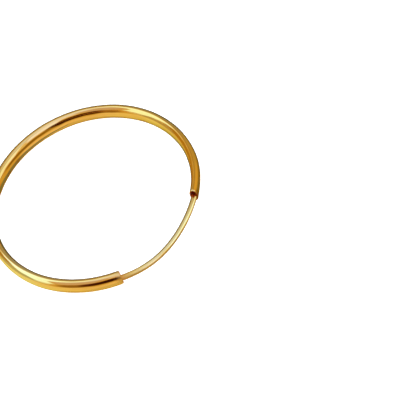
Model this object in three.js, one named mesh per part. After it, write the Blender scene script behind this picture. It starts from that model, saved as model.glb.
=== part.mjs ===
// Endless hoop earring, lying on its side as it rests when it is taken off.
// A hollow oval tube is bent round most of a circle, and a thin round ear wire closes the rest.
// The wire's root is crimped into one end of the tube, and its free end slides into the other, the mouth.
// Millimetres, +Z up. The origin is the hoop's centre, on the surface that the hoop rests on.
// Angles run anticlockwise from +X, seen from above.
import * as THREE from 'three';

// Driving dimensions
const HOOP_DIAMETER = 30;
const WIRE_DIAMETER = 0.8;
const TUBE_WALL = 0.11;
const SECTION_RISE = 0.94; // how much taller than wide the tube's section is
const OVAL_POWER = 2.3; // 2 is an ellipse, and more is squarer

// Clearances
const BORE_CLEARANCE = 0.19; // from the wire's side to the bore, along most of the tube
const MOUTH_CLEARANCE = 0.03; // the same where the tube is swaged narrow
const WIRE_LIFT = 0.44; // from the wire's underside to the bore's floor
const PLUG_CLEARANCE = 0.04; // round the crimped plug

// Where the tube is open
const MOUTH_ANGLE = THREE.MathUtils.degToRad(-24.4);
const OPEN_ANGLE = THREE.MathUtils.degToRad(62.6); // the share of the circle that only the wire closes

// The tube's two ends
const SWAGE_LENGTH = 7; // the stretch behind the mouth that is swaged narrow
const SWAGE_SQUASH = 0.1; // how much lower than the rest the swaged section is
const LIP_LENGTH = 0.45;
const LIP_FLARE = 0.07; // how far the lip turns out again, on each side
const TUCK = 0.14; // how far the mouth is set in from the circle
const TUCK_LENGTH = 6;
const SPRING_OUT = 0.07; // how far the cut end is set out from the circle
const SPRING_LENGTH = 6;
const EDGE_BEVEL = 0.05; // on the outer edge of both ends

// The ear wire
const PLUG_LENGTH = 0.9;
const PLUG_RECESS = 0.1; // how far inside the tube's cut end the plug's face lies
const INSERT_LENGTH = 3; // how far the free end reaches past the mouth
const NOSE_LENGTH = 0.35; // the rounded tip
const WIRE_BOW = 0.06; // how far the bare wire arches out of the circle at its middle
const WIRE_LEAN = 0.13; // how much further out it lies near the root, and further in near the mouth

// How finely the surfaces are divided
const TUBE_SIDES = 20;
const WIRE_SIDES = 12;
const SWEEP_STEP = THREE.MathUtils.degToRad(3.5);
const NOSE_STEPS = 3;

// Sizes that follow from those above
const wireRadius = WIRE_DIAMETER / 2;
const tubeHalfWidth = wireRadius + BORE_CLEARANCE + TUBE_WALL;
const neckHalfWidth = wireRadius + MOUTH_CLEARANCE + TUBE_WALL;
const tubeHalfHeight = tubeHalfWidth + SECTION_RISE / 2;
const midRadius = HOOP_DIAMETER / 2 - tubeHalfWidth;
const midHeight = tubeHalfHeight;
const wireHeight = midHeight - (tubeHalfHeight - TUBE_WALL - wireRadius - WIRE_LIFT);
const tubeAngle = 2 * Math.PI - OPEN_ANGLE;
const cutAngle = MOUTH_ANGLE + tubeAngle; // the tube's square-cut end, where the wire is crimped
const rootAngle = cutAngle - 2 * Math.PI; // the same place, where the wire starts towards the mouth

// The angle that a length along the hoop spans, and the length that an angle spans.
const angleOf = (length) => length / midRadius;
const lengthOf = (angle) => angle * midRadius;

const signedPower = (value, power) => Math.sign(value) * Math.abs(value) ** power;

// 1 at the start of a stretch, falling evenly to 0 at its end.
const fade = (length, stretch) => THREE.MathUtils.clamp(1 - length / stretch, 0, 1);

// The tube's section at an angle: where its centre lies, and half its width and height. It lies
// inside the circle near the mouth and outside it near the cut end. It is swaged narrower and
// lower towards the mouth, and opens again at the lip.
function tubeSection(angle) {
  const pastMouth = lengthOf(angle - MOUTH_ANGLE);
  const beforeCut = lengthOf(cutAngle - angle);
  const tuck = TUCK * fade(pastMouth, TUCK_LENGTH);
  const spring = SPRING_OUT * fade(beforeCut, SPRING_LENGTH);
  const swage = 1 - THREE.MathUtils.smoothstep(pastMouth, LIP_LENGTH, SWAGE_LENGTH);
  const flare = LIP_FLARE * fade(pastMouth, LIP_LENGTH) ** 2;
  return {
    radius: midRadius - tuck + spring,
    halfWidth: THREE.MathUtils.lerp(tubeHalfWidth, neckHalfWidth, swage) + flare,
    halfHeight: tubeHalfHeight - (SWAGE_SQUASH / 2) * swage,
  };
}

// The radius of the wire's centre line. Inside either end of the tube the wire follows the tube.
function wireRadiusAt(angle) {
  if (angle >= MOUTH_ANGLE) {
    return tubeSection(angle).radius;
  }
  if (angle <= rootAngle) {
    return tubeSection(angle + 2 * Math.PI).radius;
  }
  const share = (angle - rootAngle) / OPEN_ANGLE;
  const ease = THREE.MathUtils.smoothstep(share, 0, 1);
  const straight = THREE.MathUtils.lerp(tubeSection(cutAngle).radius, tubeSection(MOUTH_ANGLE).radius, ease);
  return straight + WIRE_BOW * Math.sin(Math.PI * share) + WIRE_LEAN * Math.sin(2 * Math.PI * share);
}

// One closed ring of points: an oval section in the upright plane through the hoop's axis.
// A flat side of the ring touches each of the oval's four extremes.
function sectionRing(angle, radius, height, halfWidth, halfHeight, power, sides) {
  const step = (2 * Math.PI) / sides;
  const fit = 1 / Math.cos(step / 2) ** (2 / power);
  const ring = [];
  for (let side = 0; side < sides; side += 1) {
    const turn = (side + 0.5) * step;
    const out = radius + halfWidth * fit * signedPower(Math.cos(turn), 2 / power);
    const up = height + halfHeight * fit * signedPower(Math.sin(turn), 2 / power);
    ring.push(new THREE.Vector3(out * Math.cos(angle), out * Math.sin(angle), up));
  }
  return ring;
}

// The skin through a row of rings with equally many points. The last ring joins back onto the
// first one where the row is closed, and otherwise a flat face closes each end.
function loft(rings, closed) {
  const sides = rings[0].length;
  const faces = [];
  const index = (ring, side) => (ring % rings.length) * sides + (side % sides);
  const bands = closed ? rings.length : rings.length - 1;
  for (let ring = 0; ring < bands; ring += 1) {
    for (let side = 0; side < sides; side += 1) {
      faces.push(index(ring, side), index(ring + 1, side), index(ring + 1, side + 1));
      faces.push(index(ring, side), index(ring + 1, side + 1), index(ring, side + 1));
    }
  }
  if (!closed) {
    for (let side = 1; side < sides - 1; side += 1) {
      faces.push(index(0, 0), index(0, side), index(0, side + 1));
      faces.push(index(bands, 0), index(bands, side + 1), index(bands, side));
    }
  }
  const geometry = new THREE.BufferGeometry().setFromPoints(rings.flat());
  geometry.setIndex(faces);
  geometry.computeVertexNormals();
  return geometry;
}

// Equally spaced angles from one to another, both included, about a sweep step apart.
function sweepAngles(from, to) {
  const steps = Math.max(1, Math.ceil((to - from) / SWEEP_STEP));
  return Array.from({ length: steps + 1 }, (unused, step) => THREE.MathUtils.lerp(from, to, step / steps));
}

// A ring of the tube's section, set in from its outer skin.
function tubeRing(angle, inset, sides) {
  const { radius, halfWidth, halfHeight } = tubeSection(angle);
  return sectionRing(angle, radius, midHeight, halfWidth - inset, halfHeight - inset, OVAL_POWER, sides);
}

// A ring of the round wire, smaller by a scale along its nose.
function wireRing(angle, scale) {
  const radius = wireRadius * scale;
  return sectionRing(angle, wireRadiusAt(angle), wireHeight, radius, radius, 2, WIRE_SIDES);
}

// The hollow tube: its outer skin runs from the mouth to the cut end, bevelled at both, and its
// bore runs back.
function tubeGeometry() {
  const lipLengths = [0, EDGE_BEVEL, LIP_LENGTH / 2];
  const angles = [
    ...lipLengths.map((length) => MOUTH_ANGLE + angleOf(length)),
    ...sweepAngles(MOUTH_ANGLE + angleOf(LIP_LENGTH), cutAngle - angleOf(EDGE_BEVEL)),
    cutAngle,
  ];
  const isEnd = (index) => index === 0 || index === angles.length - 1;
  const skin = angles.map((angle, index) => tubeRing(angle, isEnd(index) ? EDGE_BEVEL : 0, TUBE_SIDES));
  const bore = angles.map((angle) => tubeRing(angle, TUBE_WALL, TUBE_SIDES)).reverse();
  return loft([...skin, ...bore], true);
}

// The ear wire: an oval plug at the root, the round wire, and a rounded nose inside the mouth.
function wireGeometry() {
  const plugInset = TUBE_WALL + PLUG_CLEARANCE;
  const plugFace = cutAngle - angleOf(PLUG_RECESS);
  const plugAngles = sweepAngles(plugFace - angleOf(PLUG_LENGTH), plugFace);
  const noseStart = MOUTH_ANGLE + angleOf(INSERT_LENGTH - NOSE_LENGTH);
  const bareAngles = sweepAngles(plugFace - 2 * Math.PI, MOUTH_ANGLE);
  const insertedAngles = sweepAngles(MOUTH_ANGLE, noseStart).slice(1);
  const rings = [
    ...plugAngles.map((angle) => tubeRing(angle, plugInset, WIRE_SIDES)),
    ...[...bareAngles, ...insertedAngles].map((angle) => wireRing(angle, 1)),
  ];
  for (let step = 1; step <= NOSE_STEPS; step += 1) {
    const turn = ((Math.PI / 2) * step) / (NOSE_STEPS + 0.5);
    rings.push(wireRing(noseStart + angleOf(NOSE_LENGTH * Math.sin(turn)), Math.cos(turn)));
  }
  return loft(rings, false);
}

function piece(name, geometry, material) {
  const mesh = new THREE.Mesh(geometry, material);
  mesh.name = name;
  return mesh;
}

const tubeGold = new THREE.MeshStandardMaterial({ color: 0xe2a93f, roughness: 0.18, metalness: 1 });
const wireGold = new THREE.MeshStandardMaterial({ color: 0xe8c774, roughness: 0.24, metalness: 1 });

const hoopEarring = new THREE.Group();
hoopEarring.add(piece('hoop_tube', tubeGeometry(), tubeGold));
hoopEarring.add(piece('ear_wire', wireGeometry(), wireGold));

export default hoopEarring;
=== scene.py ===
# The looks of a hollow gold hoop earring, lying on its side on a white floor.
# Metres, +Z up. The origin is the hoop's centre, on the floor. Azimuths and the angles along the
# hoop run anticlockwise from +X, seen from above. A turn runs round the tube's section, from its
# outer side (0) over the top to its inner side.
import math
from collections import namedtuple

import bpy
import numpy as np
from mathutils import Color, Matrix, Vector


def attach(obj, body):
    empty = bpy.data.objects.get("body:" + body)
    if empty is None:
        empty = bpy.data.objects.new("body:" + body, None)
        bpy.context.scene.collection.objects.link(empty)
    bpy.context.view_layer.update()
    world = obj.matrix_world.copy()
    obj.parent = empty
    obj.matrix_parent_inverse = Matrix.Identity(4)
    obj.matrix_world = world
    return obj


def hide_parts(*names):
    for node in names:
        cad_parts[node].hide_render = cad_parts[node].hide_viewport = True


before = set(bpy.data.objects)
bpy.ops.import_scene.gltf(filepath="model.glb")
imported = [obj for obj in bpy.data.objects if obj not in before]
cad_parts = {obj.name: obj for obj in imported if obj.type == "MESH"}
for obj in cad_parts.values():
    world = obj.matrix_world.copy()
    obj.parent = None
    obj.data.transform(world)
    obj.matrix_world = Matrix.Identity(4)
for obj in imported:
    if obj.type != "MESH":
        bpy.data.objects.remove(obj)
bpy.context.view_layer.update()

MM = 0.001
DEGREE = math.pi / 180

# Driving dimensions, the same as the solids'
HOOP_DIAMETER = 30 * MM
WIRE_DIAMETER = 0.8 * MM
TUBE_WALL = 0.11 * MM
SECTION_RISE = 0.94 * MM  # how much taller than wide the tube's section is
ROUND_POWER = 2  # of a circle or an ellipse
OVAL_POWER = 2.3  # of the tube's section: more is squarer

# Clearances
BORE_CLEARANCE = 0.19 * MM  # from the wire's side to the bore, along most of the tube
MOUTH_CLEARANCE = 0.03 * MM  # the same where the tube is swaged narrow
WIRE_LIFT = 0.44 * MM  # from the wire's underside to the bore's floor
PLUG_CLEARANCE = 0.04 * MM  # round the crimped plug

# Where the tube is open
MOUTH_ANGLE = -24.4 * DEGREE
OPEN_ANGLE = 62.6 * DEGREE  # the share of the circle that only the wire closes

# The tube's two ends
SWAGE_LENGTH = 7 * MM  # the stretch behind the mouth that is swaged narrow
SWAGE_SQUASH = 0.1 * MM  # how much lower than the rest the swaged section is
LIP_LENGTH = 0.45 * MM
LIP_FLARE = 0.07 * MM  # how far the lip turns out again, on each side
TUCK = 0.14 * MM  # how far the mouth is set in from the circle
TUCK_LENGTH = 6 * MM
SPRING_OUT = 0.07 * MM  # how far the cut end is set out from the circle
SPRING_LENGTH = 6 * MM
ROLL_LENGTH = 0.22 * MM  # the lip's rolled edge
ROLL_DEPTH = 0.09 * MM
CRIMP_LENGTH = 0.5 * MM  # how far the crimped cut end tapers, and by how much
CRIMP_DEPTH = 0.05 * MM
EDGE_ROUND = 0.04 * MM  # the rounding of the cut end's edge

# The ear wire
PLUG_LENGTH = 0.9 * MM
PLUG_RECESS = 0.1 * MM  # how far inside the tube's cut end the plug's face lies
PLUG_ROUND = 0.06 * MM  # the rounding of the plug's edge
INSERT_LENGTH = 3 * MM  # how far the free end reaches past the mouth
NOSE_LENGTH = 0.35 * MM  # the rounded tip
WIRE_BOW = 0.06 * MM  # how far the bare wire arches out of the circle at its middle
WIRE_LEAN = 0.13 * MM  # how much further out it lies near the root, and further in near the mouth

# How finely the surfaces are divided
TUBE_SIDES = 80
WIRE_SIDES = 40
SWEEP_STEP = 0.9 * DEGREE
EDGE_STEPS = 6
LIP_STEPS = 6
CRIMP_STEPS = 9
PLUG_STEPS = 5
NOSE_STEPS = 7
NOSE_STOP = 0.5  # the share of a step that the last ring stops short of the wire's tip

# Shallow ripples along the skin, because the hand-bent tube isn't quite true
RIPPLES = [
    {"wavelength": 11.0 * MM, "round": 2, "depth": 0.008 * MM, "start": 0.4},
    {"wavelength": 5.3 * MM, "round": 3, "depth": 0.006 * MM, "start": 2.1},
    {"wavelength": 2.7 * MM, "round": 2, "depth": 0.004 * MM, "start": 4.0},
    {"wavelength": 1.6 * MM, "round": 5, "depth": 0.0015 * MM, "start": 1.2},
]

# Small dark, dull spots on the lip and along the tube, by the angle along the hoop and the turn, in
# degrees. The one on the lip is painted shade of its shadowed outer side.
SHADE_AND_DULL_SPOTS = [
    # painted shade on the shadowed outer side of the lip
    {"angle": -24.0, "turn": 8, "length": 0.42 * MM, "girth": 0.55 * MM, "strength": 0.95},
    {"angle": 130.0, "turn": 189, "length": 0.5 * MM, "girth": 0.16 * MM, "strength": 0.8},
    {"angle": 139.6, "turn": 194, "length": 0.45 * MM, "girth": 0.16 * MM, "strength": 0.8},
    {"angle": 157.6, "turn": 184, "length": 0.5 * MM, "girth": 0.18 * MM, "strength": 0.7},
    {"angle": 45.5, "turn": 206, "length": 0.6 * MM, "girth": 0.2 * MM, "strength": 0.9},
    {"angle": 99.0, "turn": 74, "length": 0.4 * MM, "girth": 0.12 * MM, "strength": 0.9},
]

# Where the gold has changed with heat and tools, and where a brighter reflection and a bright outer edge
# are painted on
ROOT_STAIN = 0.8  # how strongly the wire is discoloured at its root
STAIN_LENGTH = 9 * MM  # how far along the wire that reaches
MATT_LENGTH = 4 * MM  # how far along the wire its root is matt
WORN_LENGTH = 1.2 * MM  # how far the crimping tool left the tube's cut end matt
PAINTED_REFLECTION_ANGLE = 212 * DEGREE  # the middle of the stretch painted a paler gold, a painted brighter reflection of the table
PAINTED_REFLECTION_REACH = 40 * DEGREE  # how far it reaches to each side
BRIGHT_RIM_ANGLE = 232 * DEGREE  # the middle of the stretch whose outer edge is painted bright, without the painted dark outline
BRIGHT_RIM_FULL = 34 * DEGREE  # how far it reaches in full to each side
BRIGHT_RIM_REACH = 55 * DEGREE  # how far it reaches at all
BRIGHT_RIM_TURN = 60 * DEGREE  # how far round the section it reaches in full

# The golds: where polished, in their deeper clouds, where tarnished or painted with shade, and mirroring
# at a grazing angle, where a dark tint paints a dark outline along the silhouettes
POLISHED_GOLD = (1.0, 0.53, 0.11)
PAINTED_REFLECTION_GOLD = (1.0, 0.6, 0.17, 1)  # a painted brighter reflection of the table on the near side
BRIGHT_RIM_TINT = (0.85, 0.75, 0.45, 1)  # a painted bright outer edge, in place of the painted dark outline
GOLDS = {
    "tube_skin": {
        "colour": (*POLISHED_GOLD, 1),
        "deep": (0.97, 0.5, 0.098, 1),
        "tarnish_and_shade": (0.45, 0.12, 0.02, 1),
        # painted dark outline at a grazing angle
        "painted_rim_shade": (0.4, 0.38, 0.3, 1),
        "roughness": (0.05, 0.11),
    },
    "tube_bore": {
        "colour": (1.0, 0.36, 0.12, 1),
        "deep": (0.95, 0.3, 0.08, 1),
        "tarnish_and_shade": (0.7, 0.2, 0.04, 1),
        "painted_rim_shade": (1, 1, 1, 1),
        "roughness": (0.6, 0.72),
    },
    "round_wire": {
        "colour": (1.0, 0.65, 0.2, 1),
        "deep": (1.0, 0.62, 0.17, 1),
        "tarnish_and_shade": (0.97, 0.5, 0.05, 1),
        # painted dark outline at a grazing angle
        "painted_rim_shade": (0.14, 0.17, 0.16, 1),
        "roughness": (0.07, 0.13),
    },
}

# The gold's fine grain
SURFACE_MAP = "Surface"
DRAWN_LINES = {"per_metre": (400, 9000, 1), "detail": 4}  # along the tube, round it, and unused
CLOUDS = {"per_metre": (500, 500, 1), "detail": 3}
SCUFFS = {"per_metre": (2500, 2500, 1), "detail": 6}
CLOUD_RANGE = (0.35, 0.65)  # the noise that leaves the gold plain, and that makes it deepest
SCUFF_RANGE = (0.3, 0.7)  # the noise that leaves the gold smoothest, and roughest
TARNISH_AND_SHADE_ROUGHNESS = 0.35
WORN_ROUGHNESS = 0.35
SCUFF_HEIGHT = 0.6  # against a drawn line's
GRAIN_STRENGTH = 0.5
GRAIN_DEPTH = 0.0012 * MM

# The paper floor, which curves up into a wall all round
FLOOR_RADIUS = 0.6  # of its flat part
FLOOR_RINGS = (0.1, 0.4, 0.7, 1.0)  # as shares of that radius
COVE_RADIUS = 0.5
COVE_STEPS = 12
WALL_HEIGHT = 1.5
FLOOR_SIDES = 64
PAPER_LIGHT = (0.94, 0.94, 0.94, 1)
PAPER_DARK = (0.9, 0.9, 0.9, 1)
PAPER_ROUGHNESS = 0.9
PAPER_GLOSS = 0.1
PAPER_GLOW = 0.72  # as overexposed paper has
GLOW_COLOUR = (1, 1, 1, 1)
TOOTH_PER_METRE = 900
TOOTH_DETAIL = 4
TOOTH_STRENGTH = 0.15
TOOTH_DEPTH = 0.05 * MM

# The sun over the floor, which the gold doesn't mirror
SUN_STRENGTH = 0.95
SUN_SPREAD = 80 * DEGREE
SUN_ROTATION = (-20 * DEGREE, 15 * DEGREE, 0)

# The studio as the polished gold mirrors it: soft panels in a warm room, each painted over those
# before it. Angles are in degrees, and so are widths and heights, which are halves. An edge is
# softer the larger its number. What the gold shows where it mirrors a panel is given in the 0 to
# 255 values of a screen.
SCREEN_WHITE = 255
ROOM_SHOWS = (212, 148, 42)
Panel = namedtuple("Panel", "name azimuth elevation width height tilt edge shows")
PANELS = [
    Panel("ceiling", 30, 84, 28, 28, 0, 0.4, (204, 182, 122)),
    Panel("sky light", 92, 81, 18, 16, 0, 0.5, (230, 210, 158)),
    Panel("near wall", 46, 0, 16, 42, 0, 0.5, (186, 136, 46)),
    Panel("right skirting", 28, -38, 18, 14, 0, 0.5, (190, 126, 26)),
    Panel("olive back wall", 91, 0, 29, 44, 0, 0.35, (146, 127, 74)),
    Panel("near clerestory", 20, 62, 24, 8, 0, 0.5, (210, 176, 100)),
    Panel("amber lintel", 60, 51, 24, 7, 0, 0.5, (176, 122, 34)),
    Panel("amber back wall", 144, 20, 22, 28, 0, 0.3, (176, 112, 12)),
    Panel("orange back wall", 150, -10, 14, 12, 0, 0.5, (218, 160, 58)),
    Panel("table under the hoop", 220, -82, 26, 26, 0, 0.4, (214, 168, 74)),
    Panel("front floor", 334, -60, 44, 12, 0, 0.5, (138, 114, 54)),
    Panel("table left", 164, -42, 32, 19, 0, 0.4, (238, 198, 92)),
    Panel("table near left", 212, -42, 21, 15, 0, 0.5, (238, 186, 82)),
    Panel("table front", 246, -43, 22, 9, 0, 0.5, (234, 176, 80)),
    Panel("olive shade", 181, -1, 19, 16, 0, 0.5, (182, 154, 72)),
    Panel("left reflector", 202, 8, 7, 20, 0, 0.6, (230, 204, 112)),
    Panel("tan wall", 208, 66, 20, 12, 0, 0.5, (214, 166, 98)),
    Panel("overhead window", 270, 64, 17, 22, 0, 0.4, (240, 208, 156)),
    Panel("warm wall", 229, 44, 16, 24, 0, 0.4, (204, 152, 88)),
    Panel("brown wall", 233, -5, 16, 20, 0, 0.5, (148, 92, 16)),
    Panel("dark doorway", 250, 0, 16, 21, 0, 0.5, (82, 29, 1)),
    Panel("front window", 298, 34, 20, 24, 0, 0.4, (250, 222, 170)),
    Panel("window bar", 319, 18, 5, 26, 0, 0.6, (226, 172, 76)),
    Panel("right window", 336, 30, 11, 23, 0, 0.4, (252, 228, 160)),
    Panel("near window", 355, 26, 12, 28, 0, 0.4, (250, 226, 144)),
    Panel("dark corner", 267, -4, 22, 20, -23, 0.45, (58, 14, 1)),
    Panel("brown skirting", 315, -18, 29, 13, 0, 0.5, (144, 92, 10)),
    Panel("table right", 296, -45, 24, 8, 0, 0.5, (238, 176, 78)),
    Panel("back panel", 150, 57, 24, 10, -20, 0.3, (255, 248, 168)),
    Panel("left panel", 188, 32, 30, 12, -52, 0.3, (255, 246, 160)),
    Panel("table edge", 90, -22, 36, 28, 0, 0.3, (112, 93, 46)),
]

# The camera, which looks down at the hoop from the front and is turned a little about its own axis
CAMERA_AZIMUTH = -82 * DEGREE
CAMERA_ELEVATION = 50.586 * DEGREE
CAMERA_DISTANCE = 200 * MM
CAMERA_ROLL = 21.166 * DEGREE
CAMERA_LENS = 133.61  # in millimetres, as Blender asks, and so is the sensor
CAMERA_SENSOR = 36
CAMERA_NEAR = 10 * MM
CAMERA_FAR = 10
AIM_ACROSS = 12.748 * MM  # from the hoop's centre to the middle of the picture
AIM_UP = -6.907 * MM

# The sockets of Blender's Mix node that hold colours
MIX_FIRST = 6
MIX_SECOND = 7
MIX_RESULT = 2

# Sizes that follow from those above
WIRE_RADIUS = WIRE_DIAMETER / 2
TUBE_HALF_WIDTH = WIRE_RADIUS + BORE_CLEARANCE + TUBE_WALL
NECK_HALF_WIDTH = WIRE_RADIUS + MOUTH_CLEARANCE + TUBE_WALL
TUBE_HALF_HEIGHT = TUBE_HALF_WIDTH + SECTION_RISE / 2
MID_RADIUS = HOOP_DIAMETER / 2 - TUBE_HALF_WIDTH
MID_HEIGHT = TUBE_HALF_HEIGHT
WIRE_HEIGHT = TUBE_WALL + WIRE_RADIUS + WIRE_LIFT
CUT_ANGLE = MOUTH_ANGLE + 2 * math.pi - OPEN_ANGLE  # the tube's cut end, where the wire is crimped
ROOT_ANGLE = CUT_ANGLE - 2 * math.pi  # the same place, where the wire starts towards the mouth


def angle_of(length):
    """The angle that a length along the hoop spans."""
    return length / MID_RADIUS


def length_of(angle):
    """The length along the hoop that an angle spans."""
    return angle * MID_RADIUS


def fade(length, stretch):
    """1 at the start of a stretch, falling evenly to 0 at its end."""
    return min(max(1 - length / stretch, 0), 1)


def smoothstep(value, low, high):
    """0 at a low value, rising softly to 1 at a high one."""
    share = min(max((value - low) / (high - low), 0), 1)
    return share * share * (3 - 2 * share)


def tube_section(angle):
    """The tube's section at an angle: its centre's radius, and half its width and height."""
    past_mouth = length_of(angle - MOUTH_ANGLE)
    before_cut = length_of(CUT_ANGLE - angle)
    tuck = TUCK * fade(past_mouth, TUCK_LENGTH)
    spring = SPRING_OUT * fade(before_cut, SPRING_LENGTH)
    swage = 1 - smoothstep(past_mouth, LIP_LENGTH, SWAGE_LENGTH)
    flare = LIP_FLARE * fade(past_mouth, LIP_LENGTH) ** 2
    half_width = TUBE_HALF_WIDTH + (NECK_HALF_WIDTH - TUBE_HALF_WIDTH) * swage + flare
    half_height = TUBE_HALF_HEIGHT - SWAGE_SQUASH / 2 * swage
    return MID_RADIUS - tuck + spring, half_width, half_height


def wire_radius_at(angle):
    """The radius of the wire's centre line, which follows the tube inside either of its ends."""
    if angle >= MOUTH_ANGLE:
        return tube_section(angle)[0]
    if angle <= ROOT_ANGLE:
        return tube_section(angle + 2 * math.pi)[0]
    share = (angle - ROOT_ANGLE) / OPEN_ANGLE
    start, end = tube_section(CUT_ANGLE)[0], tube_section(MOUTH_ANGLE)[0]
    straight = start + (end - start) * smoothstep(share, 0, 1)
    return straight + WIRE_BOW * math.sin(math.pi * share) + WIRE_LEAN * math.sin(2 * math.pi * share)


def turns(sides):
    """Equally spaced turns, one for each point of a ring."""
    return np.arange(sides) * 2 * math.pi / sides


def quarter_turns(steps):
    """Equally spaced turns from 0 to a quarter, both included."""
    return [math.pi / 2 * step / steps for step in range(steps + 1)]


def signed_power(values, power):
    """A power that keeps each value's sign."""
    return np.sign(values) * np.abs(values) ** power


def ripple_depths(angle, sides):
    """How far the tube's skin lies inside its true surface, at each point of a ring."""
    depths = np.zeros(sides)
    for ripple in RIPPLES:
        along = 2 * math.pi * length_of(angle) / ripple["wavelength"]
        phase = along + ripple["round"] * turns(sides) + ripple["start"]
        depths += ripple["depth"] * (1 + np.sin(phase)) / 2
    return depths


def section_ring(angle, centre, half_sizes, power, sides, depths=0.0):
    """One closed ring of points: an oval section in the upright plane through the hoop's axis."""
    turn = turns(sides)
    out = centre[0] + (half_sizes[0] - depths) * signed_power(np.cos(turn), 2 / power)
    up = centre[1] + (half_sizes[1] - depths) * signed_power(np.sin(turn), 2 / power)
    return np.stack([out * math.cos(angle), out * math.sin(angle), up], axis=1)


def tube_ring(angle, inset, sides, rippled):
    """A ring of the tube's section, set in from its outer skin."""
    radius, half_width, half_height = tube_section(angle)
    depths = ripple_depths(angle, sides) if rippled else 0.0
    half_sizes = (half_width - inset, half_height - inset)
    return section_ring(angle, (radius, MID_HEIGHT), half_sizes, OVAL_POWER, sides, depths)


def wire_ring(angle, scale):
    """A ring of the round wire, smaller by a scale along its nose."""
    centre = (wire_radius_at(angle), WIRE_HEIGHT)
    radius = WIRE_RADIUS * scale
    return section_ring(angle, centre, (radius, radius), ROUND_POWER, WIRE_SIDES)


def sweep(start, end):
    """Equally spaced angles from one to another, both included, about a sweep step apart."""
    return list(np.linspace(start, end, max(2, math.ceil((end - start) / SWEEP_STEP) + 1)))


def tube_stations():
    """The angle and inset of each ring, along the skin and then back along the bore."""
    lip_end = MOUTH_ANGLE + angle_of(LIP_LENGTH)
    skin = []
    for turn in quarter_turns(EDGE_STEPS):
        length = ROLL_LENGTH * (1 - math.cos(turn))
        skin.append((MOUTH_ANGLE + angle_of(length), ROLL_DEPTH * (1 - math.sin(turn))))
    skin += [(angle, 0.0) for angle in np.linspace(skin[-1][0], lip_end, LIP_STEPS)[1:-1]]
    skin += [(angle, 0.0) for angle in sweep(lip_end, CUT_ANGLE - angle_of(CRIMP_LENGTH))[:-1]]
    cut_end = [(length, 0.0) for length in np.linspace(CRIMP_LENGTH, EDGE_ROUND, CRIMP_STEPS)[:-1]]
    for turn in reversed(quarter_turns(EDGE_STEPS)):
        cut_end.append((EDGE_ROUND * (1 - math.cos(turn)), EDGE_ROUND * (1 - math.sin(turn))))
    for length, inset in cut_end:
        crimp = CRIMP_DEPTH * fade(length, CRIMP_LENGTH) ** 2
        skin.append((CUT_ANGLE - angle_of(length), inset + crimp))
    bore = [(angle, TUBE_WALL) for angle, _ in reversed(skin)]
    return skin, bore


def band_faces(rings, sides, closed):
    """The faces between neighbouring rings of points, and back to the first one if it is closed."""
    faces = []
    for ring in range(rings if closed else rings - 1):
        here = ring * sides
        there = (ring + 1) % rings * sides
        for side in range(sides):
            after = (side + 1) % sides
            faces.append((here + side, there + side, there + after, here + after))
    return faces


def add_mesh(name, points, faces):
    """A smooth mesh object in the scene."""
    mesh = bpy.data.meshes.new(name)
    mesh.from_pydata(points, [], faces)
    mesh.shade_smooth()
    built = bpy.data.objects.new(name, mesh)
    bpy.context.scene.collection.objects.link(built)
    return built


def loft(name, rings, closed, girth):
    """A smooth skin through equally large rings, with a map in metres along and round it."""
    count, sides = len(rings), len(rings[0])
    faces = band_faces(count, sides, closed)
    middles = np.array([ring.mean(axis=0) for ring in rings])
    steps = np.linalg.norm(np.diff(middles, axis=0, append=middles[:1]), axis=1)
    along = np.concatenate([[0.0], np.cumsum(steps)])
    coordinates = []
    for face in range(len(faces)):
        ring, side = divmod(face, sides)
        low, high = girth * side / sides, girth * (side + 1) / sides
        coordinates += [along[ring], low, along[ring + 1], low]
        coordinates += [along[ring + 1], high, along[ring], high]
    if not closed:
        faces.append(tuple(range(sides)))
        faces.append(tuple(reversed(range((count - 1) * sides, count * sides))))
        coordinates += [0.0, 0.0] * (2 * sides)
    skin = add_mesh(name, np.concatenate(rings).tolist(), faces)
    layer = skin.data.uv_layers.new(name=SURFACE_MAP)
    layer.uv.foreach_set("vector", np.array(coordinates, np.float32))
    skin.data.validate()
    return skin


def shade_and_dull_at(angle, sides):
    """How dark and dull the skin is at each point of a ring, from the listed spots, the lip's painted
    shade among them.
    """
    dull = np.zeros(sides)
    for spot in SHADE_AND_DULL_SPOTS:
        along = length_of(angle - spot["angle"] * DEGREE) / spot["length"]
        gap = (turns(sides) - spot["turn"] * DEGREE + math.pi) % (2 * math.pi) - math.pi
        around = gap * (TUBE_HALF_WIDTH + TUBE_HALF_HEIGHT) / 2 / spot["girth"]
        dull = np.maximum(dull, spot["strength"] * np.exp(-(along**2) - around**2))
    return dull


def painted_reflection_at(angle):
    """How much of the painted brighter reflection, a paler gold, there is at an angle."""
    return 1 - smoothstep(abs(angle - PAINTED_REFLECTION_ANGLE), 0, PAINTED_REFLECTION_REACH)


def bright_rim_at(angle, sides):
    """How much of the painted bright edge there is at each point of a ring: only on its outer side."""
    share = 1 - smoothstep(abs(angle - BRIGHT_RIM_ANGLE), BRIGHT_RIM_FULL, BRIGHT_RIM_REACH)
    return share * np.clip(np.cos(turns(sides)) / math.cos(BRIGHT_RIM_TURN), 0, 1)


def add_wear(piece, name, rings):
    """Keeps a value for each ring, or for each point of each ring, as an attribute of the mesh."""
    sides = len(piece.data.vertices) // len(rings)
    values = np.concatenate([np.broadcast_to(ring, sides) for ring in rings])
    wear = piece.data.attributes.new(name, "FLOAT", "POINT")
    wear.data.foreach_set("value", values.astype(np.float32))


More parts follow.
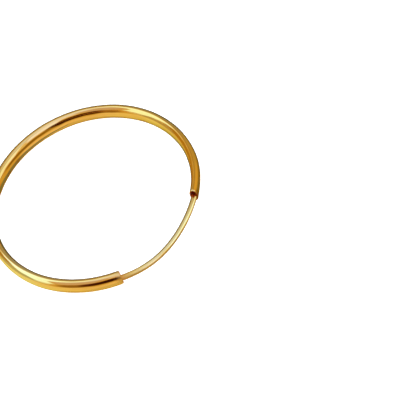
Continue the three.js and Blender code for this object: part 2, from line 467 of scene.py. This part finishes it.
def build_tube(skin_gold, bore_gold):
    """The hollow tube: its skin runs from the mouth to the cut end, and its bore runs back."""
    skin, bore = tube_stations()
    rings = [tube_ring(angle, inset, TUBE_SIDES, True) for angle, inset in skin]
    rings += [tube_ring(angle, inset, TUBE_SIDES, False) for angle, inset in bore]
    built = loft("tube_skin", rings, True, math.pi * (TUBE_HALF_WIDTH + TUBE_HALF_HEIGHT))
    angles = [angle for angle, _ in skin + bore]
    # The lip's painted shade is kept together with the tarnish
    add_wear(built, "tarnish_and_shade", [shade_and_dull_at(angle, TUBE_SIDES) for angle in angles])
    # painted brighter reflection on one stretch of the near side
    add_wear(built, "painted_reflection", [painted_reflection_at(angle) for angle in angles])
    # painted bright outer edge on one stretch of the near side
    add_wear(built, "painted_bright_rim", [bright_rim_at(angle, TUBE_SIDES) for angle in angles])
    add_wear(built, "worn", [fade(length_of(CUT_ANGLE - angle), WORN_LENGTH) for angle in angles])
    built.data.materials.append(skin_gold)
    built.data.materials.append(bore_gold)
    first_bore_face = len(skin) * TUBE_SIDES
    for face in built.data.polygons:
        face.material_index = 1 if face.index >= first_bore_face else 0
    return built


def build_wire(wire_gold):
    """The oval plug in the tube's cut end, the round wire, and its rounded nose in the mouth."""
    plug_inset = TUBE_WALL + PLUG_CLEARANCE
    plug_face = CUT_ANGLE - angle_of(PLUG_RECESS)
    plug_start = plug_face - angle_of(PLUG_LENGTH)
    nose_start = MOUTH_ANGLE + angle_of(INSERT_LENGTH - NOSE_LENGTH)
    plug = []
    for angle in np.linspace(plug_start, plug_face, PLUG_STEPS, endpoint=False):
        plug.append(tube_ring(angle, plug_inset, WIRE_SIDES, False))
    for turn in quarter_turns(EDGE_STEPS):
        angle = plug_face - angle_of(PLUG_ROUND * (1 - math.sin(turn)))
        inset = plug_inset + PLUG_ROUND * (1 - math.cos(turn))
        plug.append(tube_ring(angle, inset, WIRE_SIDES, False))
    bare_angles = sweep(plug_face - 2 * math.pi, nose_start)
    bare = [wire_ring(angle, 1) for angle in bare_angles]
    nose = []
    for step in range(1, NOSE_STEPS + 1):
        turn = math.pi / 2 * step / (NOSE_STEPS + NOSE_STOP)
        nose.append(wire_ring(nose_start + angle_of(NOSE_LENGTH * math.sin(turn)), math.cos(turn)))
    built = loft("round_wire", plug + bare + nose, False, math.pi * WIRE_DIAMETER)

    past_plug = [length_of(angle - bare_angles[0]) for angle in bare_angles]
    stained = [ROOT_STAIN * fade(length, STAIN_LENGTH) for length in past_plug]
    matt = [fade(length, MATT_LENGTH) for length in past_plug]
    add_wear(built, "tarnish_and_shade", [ROOT_STAIN] * len(plug) + stained + [0.0] * len(nose))
    add_wear(built, "worn", [1.0] * len(plug) + matt + [0.0] * len(nose))
    built.data.materials.append(wire_gold)
    return built


class Nodes:
    """Short calls for making and linking the nodes of one material or world."""

    def __init__(self, owner):
        owner.use_nodes = True
        self.tree = owner.node_tree
        self.tree.nodes.clear()

    def add(self, kind, inputs=(), **settings):
        """A new node. Each of its inputs is linked to a socket or set to a value."""
        node = self.tree.nodes.new(kind)
        for key, value in settings.items():
            setattr(node, key, value)
        for key, value in dict(inputs).items():
            if isinstance(value, bpy.types.NodeSocket):
                self.tree.links.new(value, node.inputs[key])
            else:
                node.inputs[key].default_value = value
        return node

    def calculate(self, operation, first, second):
        """What an operation makes of two values."""
        return self.add("ShaderNodeMath", {0: first, 1: second}, operation=operation).outputs[0]

    def dot(self, vector, fixed):
        """How far a vector reaches along a fixed one."""
        node = self.add("ShaderNodeVectorMath", {0: vector, 1: fixed}, operation="DOT_PRODUCT")
        return node.outputs["Value"]

    def ramp(self, value, low, high, to_low, to_high, kind="LINEAR"):
        """A value brought from one range into another."""
        inputs = {"Value": value, "From Min": low, "From Max": high, "To Min": to_low, "To Max": to_high}
        return self.add("ShaderNodeMapRange", inputs, interpolation_type=kind).outputs["Result"]

    def blend(self, share, first, second):
        """The first colour, which gives way to the second as its share grows."""
        inputs = {"Factor": share, MIX_FIRST: first, MIX_SECOND: second}
        return self.add("ShaderNodeMix", inputs, data_type="RGBA").outputs[MIX_RESULT]

    def noise(self, vector, scale, detail):
        """Soft irregular patches, between 0 and 1."""
        inputs = {"Vector": vector, "Scale": scale, "Detail": detail}
        return self.add("ShaderNodeTexNoise", inputs).outputs["Fac"]

    def grain(self, surface, pattern):
        """Noise with its own number of patches to a metre along the surface and round it."""
        spread = self.add("ShaderNodeMapping", {"Vector": surface, "Scale": pattern["per_metre"]})
        return self.noise(spread.outputs["Vector"], 1, pattern["detail"])

    def attribute(self, name):
        """What the mesh keeps under a name, or 0 where it keeps nothing."""
        return self.add("ShaderNodeAttribute", attribute_name=name).outputs["Fac"]

    def bump(self, height, strength, depth):
        """The surface's direction where it is roughened by a height."""
        inputs = {"Height": height, "Strength": strength, "Distance": depth}
        return self.add("ShaderNodeBump", inputs).outputs["Normal"]

    def shade(self, inputs):
        """Ends a material with its shader."""
        shader = self.add("ShaderNodeBsdfPrincipled", inputs)
        self.add("ShaderNodeOutputMaterial", {"Surface": shader.outputs["BSDF"]})


def gold(name):
    """Polished gold: drawn along its length, lightly scuffed, dull where tarnished or worn, darker where
    shade is painted on, with a painted brighter reflection and a painted dark or bright edge.
    """
    look = GOLDS[name]
    material = bpy.data.materials.new(name)
    nodes = Nodes(material)
    surface = nodes.add("ShaderNodeUVMap", uv_map=SURFACE_MAP).outputs["UV"]
    lines = nodes.grain(surface, DRAWN_LINES)
    clouds = nodes.grain(surface, CLOUDS)
    scuffs = nodes.grain(surface, SCUFFS)
    tarnish_and_shade = nodes.attribute("tarnish_and_shade")
    worn = nodes.attribute("worn")

    tone = nodes.blend(nodes.ramp(clouds, *CLOUD_RANGE, 0, 1), look["colour"], look["deep"])
    # painted brighter reflection: a paler gold on one stretch of the near side
    tone = nodes.blend(nodes.attribute("painted_reflection"), tone, PAINTED_REFLECTION_GOLD)
    # darker where tarnished, and painted shade on the lip
    tone = nodes.blend(tarnish_and_shade, tone, look["tarnish_and_shade"])
    roughness = nodes.ramp(scuffs, *SCUFF_RANGE, *look["roughness"])
    for wear, added in ((tarnish_and_shade, TARNISH_AND_SHADE_ROUGHNESS), (worn, WORN_ROUGHNESS)):
        roughness = nodes.calculate("ADD", roughness, nodes.calculate("MULTIPLY", wear, added))
    relief = nodes.calculate("ADD", lines, nodes.calculate("MULTIPLY", scuffs, SCUFF_HEIGHT))
    nodes.shade({
        "Base Color": tone,
        "Metallic": 1,
        "Roughness": roughness,
        # painted dark outline at a grazing angle, painted bright on one stretch of the outer side
        "Specular Tint": nodes.blend(nodes.attribute("painted_bright_rim"), look["painted_rim_shade"], BRIGHT_RIM_TINT),
        "Normal": nodes.bump(relief, GRAIN_STRENGTH, GRAIN_DEPTH),
    })
    return material


def paper(name):
    """Plain white paper with a faint tooth."""
    material = bpy.data.materials.new(name)
    nodes = Nodes(material)
    place = nodes.add("ShaderNodeTexCoord").outputs["Object"]
    tooth = nodes.noise(place, TOOTH_PER_METRE, TOOTH_DETAIL)
    nodes.shade({
        "Base Color": nodes.blend(tooth, PAPER_DARK, PAPER_LIGHT),
        "Roughness": PAPER_ROUGHNESS,
        "Specular IOR Level": PAPER_GLOSS,
        "Normal": nodes.bump(tooth, TOOTH_STRENGTH, TOOTH_DEPTH),
        "Emission Color": GLOW_COLOUR,
        "Emission Strength": PAPER_GLOW,
    })
    return material


def build_floor():
    """A round sheet of paper that curves up into a wall. It isn't mirrored and casts no shadow."""
    profile = [(FLOOR_RADIUS * share, 0.0) for share in FLOOR_RINGS]
    for turn in quarter_turns(COVE_STEPS)[1:]:
        profile.append((FLOOR_RADIUS + COVE_RADIUS * math.sin(turn), COVE_RADIUS * (1 - math.cos(turn))))
    profile.append((FLOOR_RADIUS + COVE_RADIUS, WALL_HEIGHT))
    points = []
    for radius, height in profile:
        for turn in turns(FLOOR_SIDES):
            points.append((radius * math.cos(turn), radius * math.sin(turn), height))
    faces = band_faces(len(profile), FLOOR_SIDES, False)
    middle = len(points)
    points.append((0.0, 0.0, 0.0))
    faces += [(middle, side, (side + 1) % FLOOR_SIDES) for side in range(FLOOR_SIDES)]
    floor = add_mesh("paper_floor", points, faces)
    floor.data.materials.append(paper("white_paper"))
    floor.visible_glossy = False
    floor.visible_shadow = False
    return floor


def direction(azimuth, elevation):
    """The unit vector that points there."""
    flat = math.cos(elevation)
    return Vector((flat * math.cos(azimuth), flat * math.sin(azimuth), math.sin(elevation)))


def panel_share(nodes, ray, panel):
    """1 inside a panel and 0 outside it, with a soft edge and rounded corners."""
    azimuth = panel.azimuth * DEGREE
    centre = direction(azimuth, panel.elevation * DEGREE)
    across = Vector((-math.sin(azimuth), math.cos(azimuth), 0))
    tilt = Matrix.Rotation(panel.tilt * DEGREE, 3, centre)
    wide = tilt @ across / math.sin(panel.width * DEGREE)
    high = tilt @ centre.cross(across) / math.sin(panel.height * DEGREE)
    squares = {}
    for index, axis in enumerate((wide, high)):
        offset = nodes.dot(ray, axis)
        squares[index] = nodes.calculate("MULTIPLY", offset, offset)
    corner = nodes.add("ShaderNodeCombineXYZ", squares).outputs[0]
    reach = nodes.add("ShaderNodeVectorMath", {0: corner}, operation="LENGTH").outputs["Value"]
    inside = nodes.ramp(reach, 1 + panel.edge, 1 - panel.edge, 0, 1, "SMOOTHSTEP")
    facing = nodes.calculate("GREATER_THAN", nodes.dot(ray, centre), 0)
    return nodes.calculate("MULTIPLY", inside, facing)


def light_for(shows):
    """The light that polished gold mirrors as a colour of the screen."""
    seen = Color([value / SCREEN_WHITE for value in shows]).from_srgb_to_scene_linear()
    return (*(light / metal for light, metal in zip(seen, POLISHED_GOLD)), 1)


def light_studio():
    """The world that the gold mirrors, and the sun over the floor."""
    world = bpy.data.worlds.new("studio")
    bpy.context.scene.world = world
    world.cycles_visibility.diffuse = False
    nodes = Nodes(world)
    ray = nodes.add("ShaderNodeTexCoord").outputs["Generated"]
    colour = light_for(ROOM_SHOWS)
    for panel in PANELS:
        colour = nodes.blend(panel_share(nodes, ray, panel), colour, light_for(panel.shows))
        colour.node.label = panel.name
    background = nodes.add("ShaderNodeBackground", {"Color": colour})
    nodes.add("ShaderNodeOutputWorld", {"Surface": background.outputs["Background"]})

    sun = bpy.data.lights.new("overhead_light", "SUN")
    sun.energy = SUN_STRENGTH
    sun.angle = SUN_SPREAD
    overhead = bpy.data.objects.new("overhead_light", sun)
    overhead.rotation_euler = SUN_ROTATION
    overhead.visible_glossy = False
    bpy.context.scene.collection.objects.link(overhead)


def show_plain_colours():
    """Shows the colours as they are, without a film's look."""
    view = bpy.context.scene.view_settings
    view.view_transform = "Standard"
    view.look = "None"


def make_camera():
    """The camera of the photograph's view."""
    hoop = Vector((0, 0, MID_HEIGHT))
    back = direction(CAMERA_AZIMUTH, CAMERA_ELEVATION)
    place = hoop + CAMERA_DISTANCE * back
    up = Vector((0, 0, 1))
    across = up.cross(back).normalized()
    aim = hoop + AIM_ACROSS * across + AIM_UP * back.cross(across)
    away = (place - aim).normalized()
    right = up.cross(away).normalized()
    upright = Matrix((right, away.cross(right), away)).transposed()
    roll = Matrix.Rotation(-CAMERA_ROLL, 3, away)
    data = bpy.data.cameras.new("camera")
    data.lens = CAMERA_LENS
    data.sensor_width = CAMERA_SENSOR
    data.clip_start = CAMERA_NEAR
    data.clip_end = CAMERA_FAR
    camera = bpy.data.objects.new("camera", data)
    camera.matrix_world = Matrix.Translation(place) @ (roll @ upright).to_4x4()
    bpy.context.scene.collection.objects.link(camera)
    bpy.context.scene.camera = camera


make_camera()
light_studio()
show_plain_colours()
build_floor()

tube = build_tube(gold("tube_skin"), gold("tube_bore"))
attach(tube, "root")
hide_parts("hoop_tube")

wire = build_wire(gold("round_wire"))
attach(wire, "root")
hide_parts("ear_wire")
